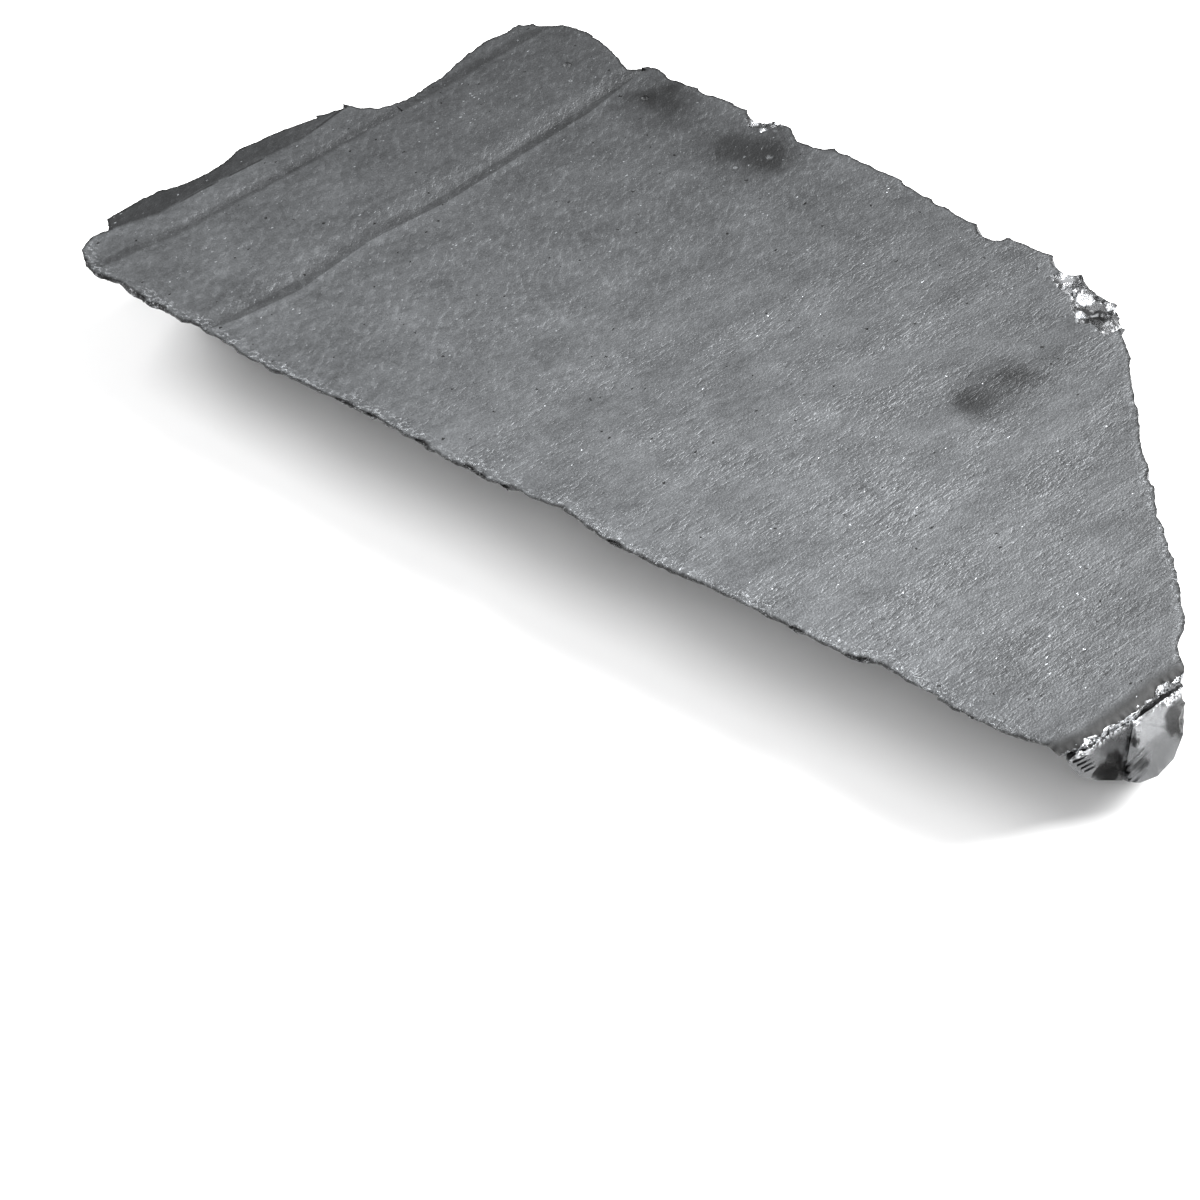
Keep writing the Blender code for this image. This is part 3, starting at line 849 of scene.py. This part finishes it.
def finishMaterial(tree, shader, settings, tone, rough, height):
    # the tone times the metal's slightly blue grey is the colour
    colour = addNode(tree, "ShaderNodeVectorMath", {
        0: settings["tint"], "Scale": times(tree, tone, settings["grey"])}, operation="SCALE")
    tree.links.new(colour.outputs["Vector"], shader.inputs["Base Color"])
    tree.links.new(rough, shader.inputs["Roughness"])
    bump = addNode(tree, "ShaderNodeBump", {
        "Height": height, "Distance": settings["bump"], "Strength": 1.0})
    tree.links.new(bump.outputs["Normal"], shader.inputs["Normal"])


# Finishes. A row of grains gives angle, length, width, depth, detail, contrast and shift

sawnSettings = {
    "shader": {"Metallic": 0.7, "IOR": 1.6},
    "tint": (0.945, 0.985, 1.03),
    "grey": 0.104,
    "bump": 0.00005,
    "grains": {
        "bands": (76, 70, 4.5, 50, 3, 1.6, 0),
        "cloud": (60, 7, 4.5, 50, 4, 1.7, 5),
        "mottle": (75, 1.5, 0.7, 50, 3, 1.8, 11),
        "patch": (75, 13, 5, 50, 2, 3.5, 13),
        "streak": (75, 10, 0.4, 50, 4, 2.0, 0),
        "hair": (74, 2.4, 0.17, 50, 3, 2.2, 9),
        "nick": (80, 1.1, 0.42, 50, 2, 2.6, 17),
        "dab": (113, 1.4, 0.7, 50, 3, 2.2, 3),
        "dust": (0, 0.24, 0.24, 50, 2, 2.2, 7),
        "crumb": (20, 0.45, 0.3, 0.4, 3, 3.0, 21),
    },
    "flecks": {
        # angle, length, width, depth, share of the cells, size, shift
        # the sparkle flecks are painted glints
        "paintedSparkle": (84, 0.8, 0.5, 40, 0.22, 0.12, 0),
        "pit": (75, 1.1, 0.8, 40, 0.1, 0.12, 4),
    },
    "swings": {"bands": 0.2, "cloud": 0.36, "mottle": 0.5, "dust": 0.42},
    "lineSwings": {"streak": 0.26, "hair": 0.34},
    # the nicks are painted lighter as highlights and the sunk marks darker as shade; the dabs are the
    # face's own mottle
    "nickTones": {"nick": 0.12, "sunk": -0.22, "dabs": 0.34},
    "grooveShadeAndHighlight": [
        # number at the points, where a band along a line starts and ends, tone inside it: painted shade
        # in the soft groove and the groove, painted highlight beside the ledge and beside the groove
        ("softGap", (-1.9, -0.5), (0.55, -0.2), 0.6),
        ("grooveGap", (-3.0, -0.4), (0.12, -0.12), 0.64),
        ("ledgeGap", (0.1, 0.6), (3.5, 0.8), 1.06),
        ("grooveGap", (-0.05, 0.15), (1.8, 0.2), 1.25),
    ],
    # painted shade along the ledge step
    "crackShadeTone": 0.35,
    "stainTone": 0.22,
    "rollShadeRamp": (0.9, 2.5, 0.05, 1.0),    # painted shade where the face rolls off at the corner
    "lightAndShadeRamps": [
        # axis, from and to in metres, tone at both: painted light and shade, darker at both ends and
        # towards the far side, lighter towards the near side; the darker left end is partly the face's
        # own tone
        ("X", -0.062, 0.01, 0.68, 1.0),
        ("X", 0.03, 0.064, 1.0, 0.62),
        ("Y", 0.034, -0.028, 0.77, 1.22),
    ],
    "stripRamp": (-0.018, 0.006, 0.34, 0.58),    # tone of the outer strip along Y, in metres
    # the sparkles are painted glints; the crumbs are real, their brightness a painted glint
    "brightTones": {"paintedSparkle": 3.6, "glintingCrumbs": 2.6},
    # painted shade in the pits
    "pitShadeTone": 0.12,
    "rimShadeRamp": (0.06, 0.42, 0.16, 1.0),    # painted shade: the last edge is darkened
    "roughness": (0.42, 0.12, -0.2),       # plain, share of the clouds, share of the bright spots
    "lineHeight": 0.36,
    "heights": {"nick": 0.45, "sunk": -0.8, "dabs": 0.6, "dust": 0.42, "mottle": 0.45, "glintingCrumbs": 1.8},
    "rollHeight": (1.2, 2.6, 0.1, 1.0),
}


def sawnMarks(tree, grains, spots, axes, rimGap, rollGap, ledge):
    # nicks, lines and painted sparkles lie mostly on the right, dabs on the left, crumbs with painted
    # glints along the front rim
    slanted = minus(tree, axes["X"], times(tree, axes["Y"], 0.35))
    right = remap(tree, slanted, -0.03, 0.02)
    left = minus(tree, 1.0, right)
    nicked = times(tree, grains["patch"], right)
    front = times(tree, remap(tree, axes["Y"], 0.012, -0.01, 0.12, 1.0),
                  remap(tree, ledge, -0.5, 2.5, 0.0, 1.0))
    near = times(tree, remap(tree, rimGap, 1.9, 0.4), remap(tree, rollGap, 1.6, 2.6))
    near = times(tree, near, remap(tree, grains["patch"], 0.1, 0.7, 0.25, 1.0))
    return {
        "lines": times(tree, right, remap(tree, grains["patch"], 0, 1, 0.2, 1.0)),
        "nick": times(tree, remap(tree, grains["nick"], 0.64, 0.92), nicked),
        "sunk": times(tree, remap(tree, grains["nick"], 0.32, 0.1), nicked),
        "dabs": times(tree, remap(tree, grains["dab"], 0.4, 1.0), remap(tree, left, 0, 1, 0.15, 1.0)),
        "dust": grains["dust"],
        "mottle": grains["mottle"],
        "paintedSparkle": times(tree, spots["paintedSparkle"], remap(tree, grains["patch"], 0.2, 0.7)),
        # crumbs along the front rim, painted bright as glints
        "glintingCrumbs": times(tree, times(tree, near, front), remap(tree, grains["crumb"], 0.55, 0.95)),
    }


def sawnTone(tree, grains, marks, spots, place, axes, rimGap, rollGap, ledge):
    tone = 1.0
    for name, amount in sawnSettings["swings"].items():
        tone = addShare(tree, tone, minus(tree, grains[name], 0.5), amount)
    for name, amount in sawnSettings["lineSwings"].items():
        swing = times(tree, minus(tree, grains[name], 0.5), amount)
        tone = plus(tree, tone, times(tree, swing, marks["lines"]))
    # painted highlight on the nicks, painted shade in the sunk marks, and the dabs' own tone
    for name, amount in sawnSettings["nickTones"].items():
        tone = addShare(tree, tone, marks[name], amount)

    # the dark outer strip, painted shade and highlight along the grooves and the ledge, the stains,
    # painted shade where the face rolls off at the corner, and painted light and shade across the face
    stripTone = remap(tree, axes["Y"], *sawnSettings["stripRamp"])
    tone = times(tree, tone, maths(tree, "MAXIMUM", remap(tree, ledge, -0.6, 0.25), stripTone))
    # painted shade in the grooves, painted highlight beside them
    for name, start, end, full in sawnSettings["grooveShadeAndHighlight"]:
        gap = numberAt(tree, name)
        band = times(tree, remap(tree, gap, *start), remap(tree, gap, *end))
        tone = times(tree, tone, remap(tree, band, 0, 1, 1.0, full))
    # painted shade along the ledge step, broken up by the clouds
    ledgeShade = times(tree, remap(tree, maths(tree, "ABSOLUTE", ledge), 0.22, 0.05),
                  remap(tree, grains["cloud"], 0.35, 0.6))
    tone = times(tree, tone, remap(tree, ledgeShade, 0, 1, 1.0, sawnSettings["crackShadeTone"]))
    stain = numberAt(tree, "stain")
    tone = times(tree, tone, remap(tree, stain, 0, 1, 1.0, sawnSettings["stainTone"]))
    # painted shade where the face rolls off at the corner
    tone = times(tree, tone, remap(tree, rollGap, *sawnSettings["rollShadeRamp"]))
    # painted light and shade across the face along X and Y
    for axis, *ramp in sawnSettings["lightAndShadeRamps"]:
        tone = times(tree, tone, remap(tree, axes[axis], *ramp))
    for centre, radius, strength in markSettings["drops"]:
        drop = times(tree, dropMark(tree, place, centre, radius),
                     remap(tree, grains["dust"], 0.3, 0.7, 0.3, 1.4))
        tone = addShare(tree, tone, drop, strength)

    # painted sparkles, crumbs with painted glints, painted shade in the pits and along the last edge
    for name, amount in sawnSettings["brightTones"].items():
        tone = addShare(tree, tone, marks[name], amount)
    tone = times(tree, tone, remap(tree, spots["pit"], 0, 1, 1.0, sawnSettings["pitShadeTone"]))
    return times(tree, tone, remap(tree, rimGap, *sawnSettings["rimShadeRamp"]))


def sawnSilicon(grain, flecks):
    material, tree, shader = newMaterial("sawnSilicon", sawnSettings)
    place = addNode(tree, "ShaderNodeTexCoord").outputs["Object"]
    axes = addNode(tree, "ShaderNodeSeparateXYZ", {0: place}).outputs
    grains = useRows(tree, grain, sawnSettings["grains"])
    spots = useRows(tree, flecks, sawnSettings["flecks"])
    rimGap, rollGap, ledge = [numberAt(tree, name) for name in ("rimGap", "rollGap", "ledgeGap")]
    marks = sawnMarks(tree, grains, spots, axes, rimGap, rollGap, ledge)
    tone = sawnTone(tree, grains, marks, spots, place, axes, rimGap, rollGap, ledge)

    plain, cloudShare, brightShare = sawnSettings["roughness"]
    rough = plus(tree, plain, times(tree, grains["cloud"], cloudShare))
    rough = addShare(tree, rough, plus(tree, marks["paintedSparkle"], marks["glintingCrumbs"]), brightShare)

    height = plus(tree, times(tree, grains["hair"], 0.35), grains["streak"])
    height = times(tree, marks["lines"], times(tree, height, sawnSettings["lineHeight"]))
    for name, amount in sawnSettings["heights"].items():
        height = addShare(tree, height, marks[name], amount)
    height = times(tree, minus(tree, height, spots["pit"]),
                   remap(tree, rollGap, *sawnSettings["rollHeight"]))
    finishMaterial(tree, shader, sawnSettings, tone, rough, height)
    return material


brokenSettings = {
    "shader": {"Metallic": 0.9, "IOR": 2.0},
    "tint": (0.97, 0.99, 1.02),
    "grey": 0.155,
    "bump": 0.00003,
    "grains": {
        "patches": (0, 3.2, 3.2, 3.2, 3, 1.8, 0),
        "ripples": (20, 2.5, 0.6, 0.6, 3, 1.6, 2),
        "grit": (0, 0.35, 0.35, 0.35, 3, 3.0, 8),
    },
    "patchTone": (0.9, 0.2),
    "glint": 1.4,              # painted glints on the grit close under the rim
    "looseRamp": (0.2, 0.75, 0.3, 5.0),    # tones of the crumbled edge
    "roughness": (0.16, 0.16),
    "arcs": {"Scale": 200.0, "Distortion": 2.0, "Detail": 1.0, "Detail Scale": 1.0},
    "arcHeight": 0.35,
    "gritHeight": 3.0,
}


def brokenSilicon(grain):
    material, tree, shader = newMaterial("brokenSilicon", brokenSettings)
    grains = useRows(tree, grain, brokenSettings["grains"])
    crumbled = numberAt(tree, "crumbled")
    plain, share = brokenSettings["patchTone"]
    tone = plus(tree, plain, times(tree, grains["patches"], share))
    # the facets' painted shade and reflections, each grain's own tone, and the painted shade under the
    # rim
    for name in ("facetShading", "grainTone", "rimShade"):
        tone = times(tree, tone, numberAt(tree, name))
    # painted glints close under the rim
    glint = times(tree, remap(tree, grains["grit"], 0.72, 0.9),
                  remap(tree, numberAt(tree, "rimGap"), 0.9, 0.5))
    tone = addShare(tree, tone, glint, brokenSettings["glint"])
    loose = times(tree, crumbled, remap(tree, grains["grit"], *brokenSettings["looseRamp"]))
    tone = plus(tree, times(tree, tone, minus(tree, 1.0, crumbled)), loose)
    plain, share = brokenSettings["roughness"]
    rough = plus(tree, plain, times(tree, grains["patches"], share))
    arcs = addNode(tree, "ShaderNodeTexWave", brokenSettings["arcs"],
                   wave_type="RINGS", rings_direction="SPHERICAL").outputs["Fac"]
    height = addShare(tree, grains["ripples"], arcs, brokenSettings["arcHeight"])
    height = addShare(tree, height, times(tree, grains["grit"], crumbled), brokenSettings["gritHeight"])
    finishMaterial(tree, shader, brokenSettings, tone, rough, height)
    return material


castSettings = {
    "shader": {"Metallic": 0.6, "IOR": 1.6},
    "tint": (0.98, 0.99, 1.01),
    "grey": 0.1,
    "bump": 0.0001,
    "grains": {
        "blotch": (0, 7, 7, 7, 5, 1.8, 1),
        "pimples": (0, 0.7, 0.7, 0.7, 3, 1.8, 6),
    },
    "blotchTone": (0.75, 0.5),
    "roughness": (0.45, 0.15),
}


def castSilicon(grain):
    material, tree, shader = newMaterial("castSilicon", castSettings)
    grains = useRows(tree, grain, castSettings["grains"])
    plain, share = castSettings["blotchTone"]
    tone = plus(tree, plain, times(tree, grains["blotch"], share))
    plain, share = castSettings["roughness"]
    rough = plus(tree, plain, times(tree, grains["blotch"], share))
    finishMaterial(tree, shader, castSettings, tone, rough, grains["pimples"])
    return material


# Floor, light and camera

studioSettings = {
    "floorSize": 6.0,
    "floorGrey": 0.86,
    "worldGrey": 0.9,
    "worldStrength": 0.4,
    "lights": [
        # name, place in metres, size, power in watts
        ("backSoftbox", (0.28, 0.5, 0.5), 0.55, 18.0),
        ("leftSoftbox", (-0.55, -0.1, 0.5), 0.4, 5.0),
        ("frontFill", (0.35, -0.6, 0.6), 0.5, 3.0),
    ],
    "azimuth": 36.0,
    "elevation": 45.0,
    "lens": 100.0,
    "sensor": 36.0,
    "distance": 322.0,
    "aim": (13.124, -40.994, 12.0),
}


def buildStudio():
    bpy.ops.mesh.primitive_plane_add(size=studioSettings["floorSize"])
    floor = bpy.context.object
    floor.name = "floor"
    paint = bpy.data.materials.new("paleFloor")
    paint.use_nodes = True
    shader = paint.node_tree.nodes["Principled BSDF"]
    grey = studioSettings["floorGrey"]
    shader.inputs["Base Color"].default_value = (grey, grey, grey, 1)
    shader.inputs["Roughness"].default_value = 0.9
    shader.inputs["Specular IOR Level"].default_value = 0.1
    floor.data.materials.append(paint)

    world = bpy.data.worlds.new("studio")
    world.use_nodes = True
    sky = world.node_tree.nodes["Background"].inputs
    sky["Color"].default_value = (studioSettings["worldGrey"],) * 3 + (1,)
    sky["Strength"].default_value = studioSettings["worldStrength"]
    bpy.context.scene.world = world
    target = Vector((0, 0, slabHigh.z))
    for name, place, size, power in studioSettings["lights"]:
        lamp = bpy.data.lights.new(name, "AREA")
        lamp.size = size
        lamp.energy = power
        holder = bpy.data.objects.new(name, lamp)
        holder.location = place
        holder.rotation_euler = (Vector(place) - target).to_track_quat("Z", "Y").to_euler()
        bpy.context.scene.collection.objects.link(holder)

    azimuth = math.radians(studioSettings["azimuth"])
    elevation = math.radians(studioSettings["elevation"])
    back = Vector((math.sin(azimuth) * math.cos(elevation), -math.cos(azimuth) * math.cos(elevation),
                   math.sin(elevation)))
    lens = bpy.data.cameras.new("camera")
    lens.lens = studioSettings["lens"]
    lens.sensor_width = studioSettings["sensor"]
    camera = bpy.data.objects.new("camera", lens)
    camera.location = Vector(studioSettings["aim"]) * mm + back * studioSettings["distance"] * mm
    camera.rotation_euler = (-back).to_track_quat("-Z", "Y").to_euler()
    bpy.context.scene.collection.objects.link(camera)
    bpy.context.scene.camera = camera
    bpy.context.scene.view_settings.view_transform = "Standard"
    print("studio: floor, lights and camera")


skin = buildSkin()
grain = stretchedGrainGroup()
flecks = flecksGroup()
for material in (sawnSilicon(grain, flecks), brokenSilicon(grain), castSilicon(grain)):
    skin.data.materials.append(material)
print("finishes: sawn, broken and cast")
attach(skin, "root")
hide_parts("silicon_slab")
print("silicon:", len(skin.data.polygons), "triangles")
buildStudio()
